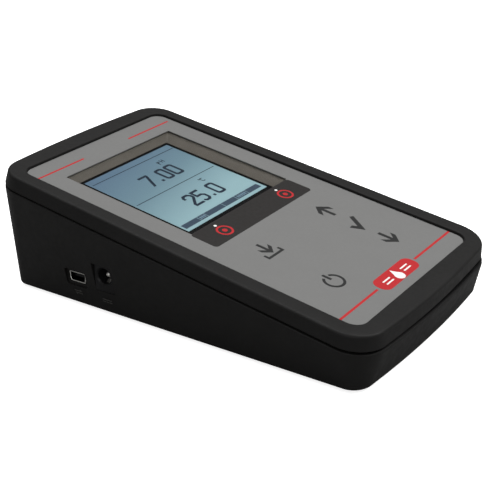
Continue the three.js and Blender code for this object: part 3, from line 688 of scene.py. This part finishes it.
def build_base():
    """A cup with bosses for the case screws, and with every opening cut through it."""
    outer_loops, edge_steps = [], 6
    for i in range(edge_steps + 1):
        angle = math.radians(90 * i / edge_steps)
        inset = EDGE_RADIUS * (1 - math.sin(angle))
        rise = EDGE_RADIUS * (1 - math.cos(angle))
        outer_loops.append(level(SOLE, inset, rise))
    bottom = SEAM_TOP - SEAM_GAP
    open_bottom = bottom - 0.7
    edge = [
        seam_loop((0, bottom - 1.2), (0, open_bottom - 1.0)),
        seam_loop((0, bottom - 0.3), (0.15, open_bottom - 0.15)),
        seam_loop((0.15, bottom - 0.1), (0.2, open_bottom - 0.05)),
        seam_loop((0.4, bottom), (0.3, open_bottom)),
    ]
    outer_loops += [from_face(loop) for loop in edge]
    outer = skin(outer_loops)
    lip = [
        seam_loop((LIP_OUTER[0], bottom - 0.05), (LIP_OUTER[1], open_bottom - 0.05)),
        seam_loop((LIP_OUTER[0], LIP_TOP), (LIP_OUTER[1], LIP_TOP)),
        seam_loop((LIP_INNER[0], LIP_TOP), (LIP_INNER[1], LIP_TOP)),
        seam_loop((WALL, bottom - 1.6), (3.0, open_bottom - 1.6)),
    ]
    cup = skin([*outer_loops, *(from_face(loop) for loop in lip), level(SOLE, WALL - 0.4, WALL)])
    posts, counterbores = [], []
    face_to_case = FACE_TO_CASE.copy()
    face_to_case.translation /= MM
    head_radius, post_radius, post_top, post_web, far_below = 3.4, 4.0, -8.3, 3.0, -70
    for i in range(4):
        low, high = face_box(f"case_screw_{i + 1}")
        centre = (low + high) / 2
        spot = circle(centre.x, centre.y, post_radius, 40)
        posts.append(placed(prism(spot, far_below, post_top), face_to_case))
        bore = circle(centre.x, centre.y, head_radius, 40)
        counterbores.append(placed(prism(bore, far_below, post_top - post_web), face_to_case))
    posts_inside = boolean(combined(posts), [outer], "INTERSECT")
    cup = boolean(cup, [posts_inside], "UNION")
    foot_pocket, foot_room, label_pocket, label_room, outside = 1.2, 0.25, 0.4, 0.3, 9
    for i in range(4):
        low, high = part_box(f"rubber_foot_{i + 1}")
        foot = CASE.inverted() @ ((low + high) / 2) / MM
        radius = (high.x - low.x) / 2 / MM + foot_room
        counterbores.append(prism(circle(foot.x, foot.y, radius), -1, foot_pocket))
    low, high = (CASE.inverted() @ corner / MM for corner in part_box("rating_label"))
    side, front, back = high.x + label_room, low.y - label_room, high.y + label_room
    recess = rounded(low.x - label_room, side, front, back, 2)
    counterbores.append(prism(recess, -1, label_pocket))
    recess_y, recess_z = USB_RECESS
    electrode_hole, thermometer_hole = 5.1, 6.2
    port_cuts = [
        placed(prism(rounded(-recess_z, recess_z, -recess_y, recess_y, 1.1), 0, outside), USB_FRAME),
        placed(prism(jack_outline(0.2, 0.3), -outside, outside), JACK_FRAME),
        placed(prism(circle(0, 0, electrode_hole), -8, 8), ELECTRODE_FRAME),
        placed(prism(circle(0, 0, thermometer_hole), -8, 8), THERMOMETER_FRAME),
    ]
    usb_hole = placed(prism(usb_outline(-0.12), -7, 1), USB_FRAME)
    base = boolean(boolean(cup, counterbores), port_cuts)
    base = boolean(base, [usb_hole])
    place("base_shell", base, CASE, case_plastic, replaces=["base_housing"])


def build_gasket():
    """The rubber ring on top of the lip, and its bead that fills the open part of the seam. Their near
    black also paints the shade in the open seam.
    """
    low, high, soft = LIP_TOP + 0.1, LIP_TOP + 1.0, 0.2
    outer = [inset + 0.1 for inset in LIP_OUTER]
    inner = [inset - 0.1 for inset in LIP_INNER]
    profile = [(outer, low), (outer, high - soft), ([inset + soft for inset in outer], high)]
    profile += [([inset - soft for inset in inner], high), (inner, high - soft), (inner, low)]
    ring = skin([seam_loop((narrow, z), (wide, z)) for (narrow, wide), z in profile], ring=True)
    bead_steps, hidden, shown = 20, (1.6, -4.85, 0.4), (1.45, -5.0, 0.95)
    loops = []
    for i in range(bead_steps):
        angle = 2 * math.pi * i / bead_steps
        narrow, wide = (
            (inset - radius * math.cos(angle), z + radius * math.sin(angle))
            for inset, z, radius in (hidden, shown)
        )
        loops.append(seam_loop(narrow, wide))
    bead = skin(loops, ring=True)
    gasket = combined([ring, bead])
    place("gasket_ring", gasket, FACE, black_and_painted_shade, replaces=["case_gasket"])


def build_feet():
    for i in range(4):
        node = f"rubber_foot_{i + 1}"
        low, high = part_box(node)
        radius = (high.x - low.x) / 2 / MM
        height = (high.z - low.z) / MM
        dimple = radius * 0.55
        foot = lathe([
            (0, 0.25), (dimple - 0.4, 0.25), (dimple, 0), (radius - 0.7, 0),
            (radius - 0.35, 0.12), (radius - 0.12, 0.42), (radius, height), (0, height),
        ])
        centre = (low + high) / 2
        matrix = Matrix.Translation((centre.x, centre.y, low.z))
        place(f"foot_{i + 1}", foot, matrix, rubber, replaces=[node])


# ---------------------------------------------------------------- face: foil, keys and prints


def ink(name, outlines, material, body="case", height=0.0):
    place(name, flat(outlines, height - BITE, height + PRINT), FACE, material, body)


def build_foil():
    holes = [bowed_outline(VIEW, 0, arc_steps=6, bow_steps=2)]
    for name, centre in KEYS.items():
        holes.append(circle(centre.x, centre.y, key_radius(name), 72))
    edge = bowed_outline(FOIL, 0, arc_steps=14, bow_steps=2)
    foil = flat([edge, *holes], -FOIL_THICK, 0)
    place("face_foil", foil, FACE, overlay_grey, replaces=["keypad_foil"])


STRIP_FRONT = 60.5
STRIP_HALF = 30.0


def build_strip():
    """The dark printed band in front of the display, around the soft keys."""
    band = rounded(-STRIP_HALF - 0.3, STRIP_HALF - 0.6, STRIP_FRONT, VIEW_FRONT - 0.01, 1.5)
    holes = []
    for name in ("softkey_left", "softkey_right"):
        centre = KEYS[name]
        holes.append(circle(centre.x, centre.y, key_radius(name) + 0.005, 72))
    ink("print_band", [band, *holes], overlay_dark)
    for name, side in (("left", -18.9), ("right", 18.9)):
        ink(f"print_dot_{name}", [circle(side, 69.8, 0.6, 24)], ink_white, height=PRINT)


def build_keytops():
    for name, centre in KEYS.items():
        radius = key_radius(name) - HAIRLINE
        soft = name.startswith("softkey")
        top = PRINT if soft else 0.0
        disc = lathe([(0, -FOIL_THICK), (radius, -FOIL_THICK), (radius, top), (0, top)])
        matrix = FACE @ Matrix.Translation((centre.x * MM, centre.y * MM, 0))
        material = overlay_dark if soft else overlay_grey
        place(f"keytop_{name}", disc, matrix, material, body=name, replaces=[name])


ARROW = [
    (0, 0.1), (3.45, -3.35), (3.45, -5.6), (0.75, -2.9), (0.75, -8.5),
    (-0.75, -8.5), (-0.75, -2.9), (-3.45, -5.6), (-3.45, -3.35),
]
CHECK = [(17.4, 29.95), (23.0, 38.5), (21.35, 39.25), (17.55, 33.5), (16.45, 35.3), (14.6, 35.0)]


def build_key_prints():
    ink("print_up", [moved(ARROW, 18.9, 52.1)], ink_dark, "key_up")
    ink("print_down", [moved(ARROW, 18.7, 17.1, 180)], ink_dark, "key_down")
    ink("print_enter", [CHECK], ink_dark, "key_enter")
    tray = stroke([(-23.3, 45.9), (-23.3, 43.75), (-15.4, 43.75), (-15.4, 45.9)], 1.05)
    save = [moved(ARROW, -19.1, 44.95, 180, 0.84), tray]
    ink("print_save", save, ink_dark, "key_save")
    power = [
        stroke(arc(-19.7, 20.4, 3.47, 114, 426, 60), 1.02),
        rounded(-20.28, -19.12, 21.5, 25.15, 0.1, 2),
    ]
    ink("print_power", power, ink_dark, "key_power")
    for name in ("softkey_left", "softkey_right"):
        centre = KEYS[name]
        ring = [circle(centre.x, centre.y, radius, 64) for radius in (3.2, 2.4, 1.0)]
        ink(f"print_{name}", ring, ink_red, body=name, height=PRINT)


def drop_outline(x, y, size):
    """A water drop: a round belly with a point towards the back."""
    belly = arc(x, y - 0.25 * size, 0.5 * size, 160, 380, 24)
    neck = [(x + side * 0.16 * size, y + 0.42 * size) for side in (1, -1)]
    return [*belly, neck[0], (x, y + 0.78 * size), neck[1]]


def build_red_prints():
    pill = rounded(-12.9, 10.9, 3.9, 10.9, 3.0)
    ink("print_badge", [pill], ink_red)
    ink("print_drop", [drop_outline(-1.0, 7.1, 4.0)], ink_white, height=PRINT)
    bars = [rounded(x, x + 4.6, y, y + 0.6, 0.25, 4) for x in (-9.2, 2.6) for y in (6.1, 7.7)]
    ink("print_bars", bars, ink_white, height=PRINT)
    edge = FOIL_HALF - 0.05
    lines = [
        ("front_left", -edge, -14.1, 7.2, 0.9),
        ("front_right", 12.0, edge, 7.5, 0.9),
        ("back_left", -edge, -13.8, 136.1, 0.8),
        ("back_right", 11.9, 36.4, 136.1, 0.8),
    ]
    for name, left, right, middle, thick in lines:
        bar = box_outline(left, right, middle - thick / 2, middle + thick / 2)
        ink(f"print_line_{name}", [bar], ink_red)


# ---------------------------------------------------------------- display


def build_display_frame():
    edge, step, floor, bottom, top = -0.15, -0.8, -2.85, -3.12, -FOIL_THICK - 0.02
    loops = [
        level(FRAME, 0, bottom),
        level(FRAME, 0, top),
        level(VIEW, edge, top),
        level(VIEW, edge, step),
        level(OPENING, edge, floor),
        level(OPENING, 0, floor - 0.12),
        level(OPENING, 0, bottom),
    ]
    frame_ring = skin(loops, ring=True)
    place("screen_frame", frame_ring, FACE, frame_plastic, replaces=["display_frame"])


def build_window():
    gap, bottom, top = 0.02, -0.25, -0.03
    pane = prism(bowed_outline(VIEW, gap, arc_steps=4, bow_steps=2), bottom, top)
    place("window_pane", pane, FACE, window_film, replaces=["display_window"])


def build_lcd():
    low, high = face_box("lcd_glass")
    # The black glass reaches forward to the longer opening. There it is painted shade under the foil's
    # front edge; around the other sides it is the glass's own black border.
    front = min(low.y, VIEW_FRONT)
    glass = bevelled(prism(rounded(low.x, high.x, front, high.y, 0.3), low.z, high.z - 0.03), 0.1)
    place("lcd_block", glass, FACE, border_black_and_painted_shade, replaces=["lcd_glass"])
    edge, front_edge = 0.9, 0.2  # black border of the glass around the image
    half = SCREEN_HALF - edge
    image = rounded(-half, half, SCREEN_FRONT + front_edge, SCREEN_BACK - edge, 0.1, 3)
    image = flat([image], high.z - 0.035, high.z - 0.01)
    place("lcd_image", image, FACE, lcd_ground_with_painted_light)


DIGIT_STROKE = 1.2


def zero(x0, x1, y0, y1):
    width = DIGIT_STROKE + 0.02
    inner = rounded(x0 + width, x1 - width, y0 + width, y1 - width, 0.5, 5)
    return [rounded(x0, x1, y0, y1, 1.4, 6), inner]


def seven(x, y):
    points = [(0, 8.5), (5, 8.5), (5, 7.4), (1.5, 0), (0.2, 0), (3.65, 7.3), (0, 7.3)]
    return [moved(points, x, y)]


def two(x, y):
    path = [(0.53, 5.7), (0.53, 6.8), (1.4, 7.87), (3.5, 7.87), (4.47, 6.8), (4.47, 5.3)]
    path += [(0.65, 1.4), (0.65, 0.53), (5.0, 0.53)]
    return [moved(stroke(path, DIGIT_STROKE), x, y)]


def five(x, y):
    path = [(4.3, 7.87), (0.53, 7.87), (0.53, 4.7), (2.9, 4.7), (3.87, 3.8), (3.87, 1.5)]
    path += [(2.9, 0.53), (1.3, 0.53), (0.4, 1.3)]
    return [moved(stroke(path, DIGIT_STROKE), x, y)]


def lcd_mark(name, outlines, material):
    mesh = flat(outlines, LCD_TOP - 0.012, LCD_TOP - 0.002)
    place(name, mesh, FACE, material)


def build_lcd_marks():
    lcd_mark("lcd_line_top", [box_outline(-23.2, 23.6, 122.7, 123.1)], lcd_dark)
    lcd_mark("lcd_line_middle", [box_outline(-23.0, 22.9, 101.6, 101.95)], lcd_dark)
    upper = seven(-7.4, 106.7) + [box_outline(-1.2, 0.1, 107.15, 108.45)]
    upper += zero(1.55, 6.1, 106.7, 115.1) + zero(6.8, 11.7, 106.7, 115.1)
    lcd_mark("lcd_digits_upper", upper, lcd_dark)
    lower = two(-7.4, 86.3) + five(-2.0, 86.3) + [box_outline(4.0, 5.2, 86.7, 87.9)]
    lower += zero(6.5, 11.25, 86.3, 94.7)
    lcd_mark("lcd_digits_lower", lower, lcd_dark)
    thin = 0.42
    letter_p = [
        stroke([(8.8, 116.7), (8.8, 119.1)], thin),
        stroke(arc(9.55, 118.35, 0.55, -150, 150, 20), thin),
    ]
    letter_h = [
        box_outline(10.6, 11.0, 117.4, 119.6),
        box_outline(11.8, 12.2, 117.4, 119.6),
        box_outline(11.01, 11.79, 118.3, 118.7),
    ]
    lcd_mark("lcd_unit_acidity", letter_p + letter_h, lcd_dark)
    degree = [circle(9.5, 98.75, 0.45, 24), circle(9.5, 98.75, 0.2, 24)]
    letter_c = [stroke([(x * 0.75 + 2.7, y) for x, y in arc(10.8, 97.95, 1.05, 45, 315, 24)], thin)]
    lcd_mark("lcd_unit_heat", degree + letter_c, lcd_dark)
    cells = [(-23.2, -14.4), (-14.2, -10.3), (-10.1, 0.2), (0.4, 8.1), (8.3, 14.9), (15.1, 22.8)]
    lcd_mark("lcd_menu_bar", [box_outline(a, b, 78.75, 81.5) for a, b in cells], lcd_menu)
    ticks = []
    for middle, count in ((-12.2, 3), (11.6, 5)):
        for i in range(count):
            x = middle + 1.05 * (i - (count - 1) / 2)
            ticks.append(box_outline(x - 0.3, x + 0.3, 79.4, 80.9))
    mesh = flat(ticks, LCD_TOP - 0.004, LCD_TOP - 0.001)
    place("lcd_menu_ticks", mesh, FACE, lcd_faint)


# ---------------------------------------------------------------- ports and sockets


def build_usb():
    wall_thick, depth, soft = 0.32, -9.2, 0.1
    profile = (
        (0, depth), (0, -soft), (soft, 0),
        (wall_thick - soft, 0), (wall_thick, -soft), (wall_thick, depth),
    )
    shell = skin([[(x, y, z) for x, y in usb_outline(inset)] for inset, z in profile], ring=True)
    matrix = in_case(USB_FRAME)
    shield = place("usb_shield", shell, matrix, tin, replaces=["usb_shell"])
    # The shield's inner wall is tinned metal, but it is given near black: painted shade inside the
    # socket.
    shield.data.materials.append(black_and_painted_shade)
    sides = len(usb_outline())
    inner_wall = 4  # the profile's step from the mouth's inner edge to the back
    for face in shield.data.polygons[inner_wall * sides:(inner_wall + 1) * sides]:
        face.material_index = 1
    tongue_half, tongue_back, tongue_front = 2.4, -8.3, -1.2
    tongue = rounded(-0.35, 0.75, -tongue_half, tongue_half, 0.15, 3)
    tongue = bevelled(prism(tongue, tongue_back, tongue_front), 0.12)
    # The insert behind the tongue is near black, darker than the tongue's plastic: painted shade at the
    # back of the socket.
    insert = prism(usb_outline(wall_thick + 0.02), -9, -3.6)
    place("usb_insert", insert, matrix, black_and_painted_shade)
    place("usb_blade", tongue, matrix, black_plastic, replaces=["usb_tongue"])
    contacts = []
    contact_half = 0.2
    for y in (-1.6, -0.8, 0, 0.8, 1.6):
        strip = box_outline(-0.42, -0.3, y - contact_half, y + contact_half)
        contacts.append(prism(strip, -7.5, -1.5))
    place("usb_contacts", combined(contacts), matrix, brass)


def build_jack():
    """The barrel's housing with its round mouth, the pin in its middle and the leaf at its bottom."""
    bore, depth, chamfer, face = 3.1, -10.5, 0.5, 0.45
    body = bevelled(prism(jack_outline(0, 0.35, 5), -14.2, face), 0.15)
    hollow = lathe([
        (0, depth), (bore, depth), (bore, face - chamfer),
        (bore + chamfer + 0.1, face + 0.1), (0, face + 0.1),
    ])
    body = boolean(body, [hollow])
    frame_here = in_case(JACK_FRAME)
    place("jack_housing", body, frame_here, black_plastic, replaces=["dc_jack_body"])
    radius, tip = 1.05, -1.3
    nose = [(radius * math.cos(a), tip - radius + radius * math.sin(a)) for a in (0, 0.4, 0.8, 1.2)]
    pin = lathe([(0, -10.2), (radius, -10.2), *nose, (0, tip)], 40)
    place("jack_pin", pin, frame_here, tin, replaces=["dc_jack_pin"])
    steps, length, hump = 16, 8.4, 1.0
    path = []
    for i in range(steps + 1):
        share = i / steps
        path.append((-2.9 + hump * math.sin(math.pi * share**2) ** 2, -9.8 + length * share))
    leaf = prism(stroke(path, 0.18), -0.8, 0.8)
    leaf.transform(axes_matrix(Vector((1, 0, 0)), Vector((0, 0, 1)), Vector((0, -1, 0)), Vector()))
    place("jack_leaf", leaf, frame_here, tin, replaces=["dc_jack_leaf"])


def build_electrode_socket():
    """A bayonet socket with a flange, two lugs, an insulator and a centre contact."""
    reach = SOCKET_REACH
    body = lathe([
        (2.6, -7), (4.9, -7), (4.9, 0.5), (6.8, 0.5), (7, 0.7), (7, 2.1), (6.8, 2.3), (4.95, 2.3),
        (4.8, 2.45), (4.8, reach - 0.35), (4.6, reach), (4.25, reach), (4.1, reach - 0.15),
        (4.1, 3), (2.6, 3),
    ])
    lugs = []
    for side in (-1, 1):
        lug = lathe([(0, 4.4), (1, 4.4), (1, 5.55), (0.85, 5.7), (0, 5.7)], 32)
        turn = Matrix.Rotation(math.radians(90 * side), 4, "Y")
        lugs.append(placed(lug, Matrix.Translation((0, 0, 6.6)) @ turn))
    matrix = in_case(ELECTRODE_FRAME)
    barrel = combined([body, *lugs])
    place("bnc_body", barrel, matrix, nickel, replaces=["electrode_socket"])
    insulator = lathe([(1.2, -8.5), (2.3, -8.5), (2.3, 8.45), (2.15, 8.6), (1.35, 8.6), (1.2, 8.45)])
    replaced = ["electrode_insulator"]
    place("bnc_insulator", insulator, matrix, white_plastic, replaces=replaced)
    contact = lathe([(0, -11), (0.9, -11), (0.9, 8.1), (0.75, 8.3), (0.45, 8.3), (0.45, 6), (0, 6)], 32)
    place("bnc_contact", contact, matrix, brass, replaces=["electrode_contact"])


def build_thermometer_socket():
    matrix = in_case(THERMOMETER_FRAME)
    body = lathe([
        (4.8, -6), (6, -6), (6, 0.5), (7.6, 0.5), (7.8, 0.7), (7.8, 1.6), (7.65, 2.0), (7.2, 2.3),
        (5.1, 2.3), (4.8, 2.0),
    ])
    key = prism(box_outline(-0.6, 0.6, -4.9, -4.1), -3.4, 1.9)
    socket = combined([body, key])
    place("probe_socket", socket, matrix, black_plastic, replaces=["thermometer_socket"])
    contacts, contact_circle = [], 2.4
    for i in range(4):
        angle = math.radians(45 + 90 * i)
        pin = lathe([(0, -6.4), (0.42, -6.4), (0.42, -0.6), (0.25, -0.25), (0, -0.2)], 20)
        spot = (contact_circle * math.cos(angle), contact_circle * math.sin(angle), 0)
        contacts.append(placed(pin, Matrix.Translation(spot)))
    place("probe_contacts", combined(contacts), matrix, brass)


# ---------------------------------------------------------------- symbols by the ports


def spot_on_wall(y, z):
    """The place and the normal of the left wall of the base, at a place given in the case frame."""
    start = CASE @ (Vector((-80, y, z)) * MM)
    spot, normal, _, _ = BASE_TREE.ray_cast(start, Vector((1, 0, 0)))
    return spot, normal


def build_port_symbols():
    """Faintly raised signs under the two ports: direct current, and data both ways."""
    sign_height = 5.4
    signs = {
        "sign_power": (JACK_SITE[0], [
            box_outline(-2.2, 2.2, 0.4, 0.75),
            *(box_outline(x, x + 1.2, -0.55, -0.2) for x in (-2.2, -0.6, 1.0)),
        ]),
        "sign_data": (USB_SITE[0], [
            stroke([(-2.0, 0.55), (1.4, 0.55), (0.7, 1.15)], 0.32),
            stroke([(2.0, -0.35), (-1.4, -0.35), (-0.7, -0.95)], 0.32),
        ]),
    }
    for name, (y, outlines) in signs.items():
        hit, normal = spot_on_wall(y, sign_height)
        across = Vector((0, -1, 0))
        up = normal.cross(across).normalized()
        across = up.cross(normal).normalized()
        matrix = axes_matrix(across, up, normal, hit)
        place(name, flat(outlines, -0.05, 0.06), matrix, port_sign)


def build_label():
    low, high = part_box("rating_label")
    half = (high.x - low.x) / 2 / MM
    length = (high.y - low.y) / MM
    matrix = axes_matrix(
        Vector((1, 0, 0)), Vector((0, -1, 0)), Vector((0, 0, -1)), Vector((0, high.y, low.z))
    )
    card = flat([rounded(-half, half, 0, length, 1.7)], -0.2, 0)
    place("label_card", card, matrix, label_film, replaces=["rating_label"])
    margin, thick = 3, 0.35
    rules = [box_outline(-half + margin, half - margin, y, y + thick) for y in (8, 14, 20, 26)]
    place("label_rules", flat(rules, -0.01, 0.015), matrix, ink_dark)
    drop = flat([drop_outline(0, length - 5.5, 4.5)], -0.01, 0.015)
    place("label_drop", drop, matrix, ink_dark)


# ---------------------------------------------------------------- carried-over CAD nodes


def dress_cad_nodes():
    """Gives every CAD node that stays a procedural finish and softened edges."""
    finishes = {
        "keypad_spacer": film_clear,
        "keypad_circuit": film_clear,
        "display_ribbon": film_clear,
        "lcd_backlight": white_plastic,
        "thermometer_insulator": white_plastic,
        "display_board": board_green,
        "main_board": board_green,
        "processor": black_plastic,
        "buzzer": black_plastic,
        "thermometer_nut": black_plastic,
        "input_shield": zinc,
        "electrode_nut": zinc,
        "electrode_lead": sheath,
        "thermometer_lead": sheath,
    }
    for name, node in frame["nodes"].items():
        if node.hide_render:
            continue
        finish = finishes.get(name)
        if finish is None:
            finish = steel if name.startswith("dome_") else zinc
        node.data.materials.clear()
        node.data.materials.append(finish)
        soften = node.modifiers.new("soften", "BEVEL")
        soften.width = 0.06 * MM
        soften.segments = 2
        soften.limit_method = "ANGLE"
        soften.angle_limit = math.radians(50)


# ---------------------------------------------------------------- floor, lights and camera


def build_floor():
    bm = bmesh.new()
    bmesh.ops.create_grid(bm, x_segments=8, y_segments=8, size=9.0)
    floor = linked("floor", to_mesh(bm))
    nodes = Nodes("floor_paper")
    paper = nodes.ramp(nodes.noise(60), [(0.3, (0.92, 0.92, 0.92, 1)), (0.7, (0.95, 0.95, 0.95, 1))])
    nodes.join(paper, nodes.shader.inputs["Base Color"])
    nodes.even("Roughness", 0.9)
    nodes.even("Specular IOR Level", 0.0)
    nodes.even("Emission Color", (1, 1, 1, 1))
    nodes.even("Emission Strength", 0.8)
    # The floor that is seen is white; the floor that the object is lit by is a grey one.
    grey = nodes.add("ShaderNodeBsdfDiffuse")
    grey.inputs["Color"].default_value = (0.3, 0.3, 0.3, 1)
    seen = nodes.add("ShaderNodeLightPath").outputs["Is Camera Ray"]
    either = nodes.add("ShaderNodeMixShader")
    nodes.join(seen, either.inputs[0])
    nodes.join(grey.outputs["BSDF"], either.inputs[1])
    nodes.join(nodes.shader.outputs["BSDF"], either.inputs[2])
    nodes.join(either.outputs["Shader"], nodes.tree.nodes["Material Output"].inputs["Surface"])
    floor.data.materials.append(nodes.material)


def soft_light(name, place_at, aim, size, power):
    data = bpy.data.lights.new(name, "AREA")
    data.size = size
    data.energy = power
    light = linked(name, data)
    light.location = place_at
    light.rotation_euler = (Vector(aim) - Vector(place_at)).to_track_quat("-Z", "Y").to_euler()


def build_lights():
    world = bpy.data.worlds.new("studio")
    world.use_nodes = True
    tree = world.node_tree
    tree.nodes["Background"].inputs["Color"].default_value = (1, 1, 1, 1)
    # The background that is seen is white; the one that lights the object is a dim grey.
    seen = tree.nodes.new("ShaderNodeLightPath").outputs["Is Camera Ray"]
    strength = tree.nodes.new("ShaderNodeMapRange")
    strength.inputs["To Min"].default_value = 0.25
    strength.inputs["To Max"].default_value = 1.0
    tree.links.new(seen, strength.inputs["Value"])
    tree.links.new(strength.outputs["Result"], tree.nodes["Background"].inputs["Strength"])
    bpy.context.scene.world = world
    soft_light("overhead", (0.15, 0.1, 1.2), (0, 0, 0), 1.3, 13.8)
    soft_light("left", (-0.9, -0.5, 0.45), (0, 0.03, 0.02), 0.35, 1.6)
    soft_light("front_right", (0.5, -0.75, 0.95), (0, 0, 0.02), 0.45, 8.5)


def build_camera():
    azimuth, elevation, roll = (math.radians(angle) for angle in (53.35, 24.67, -3.23))
    eye = Vector((-290.3, -147.5, 182.3))  # in the case frame
    forward = Vector((
        math.sin(azimuth) * math.cos(elevation),
        math.cos(azimuth) * math.cos(elevation),
        -math.sin(elevation),
    ))
    level_right = Vector((math.cos(azimuth), -math.sin(azimuth), 0))
    level_up = level_right.cross(forward)
    right = level_right * math.cos(roll) + level_up * math.sin(roll)
    data = bpy.data.cameras.new("camera")
    data.sensor_width = 36
    data.lens = 78.19
    data.shift_x = 0.00136
    data.shift_y = -0.00028
    camera = linked("camera", data)
    camera.matrix_world = axes_matrix(right, right.cross(forward), -forward, CASE @ (eye * MM))
    bpy.context.scene.camera = camera


build_camera()
build_cover()
build_base()
build_gasket()
build_feet()
build_foil()
build_strip()
build_keytops()
build_key_prints()
build_red_prints()
build_display_frame()
build_window()
build_lcd()
build_lcd_marks()
build_usb()
build_jack()
build_electrode_socket()
build_thermometer_socket()
build_port_symbols()
build_label()
dress_cad_nodes()
build_floor()
build_lights()
bpy.context.scene.view_settings.view_transform = "Standard"
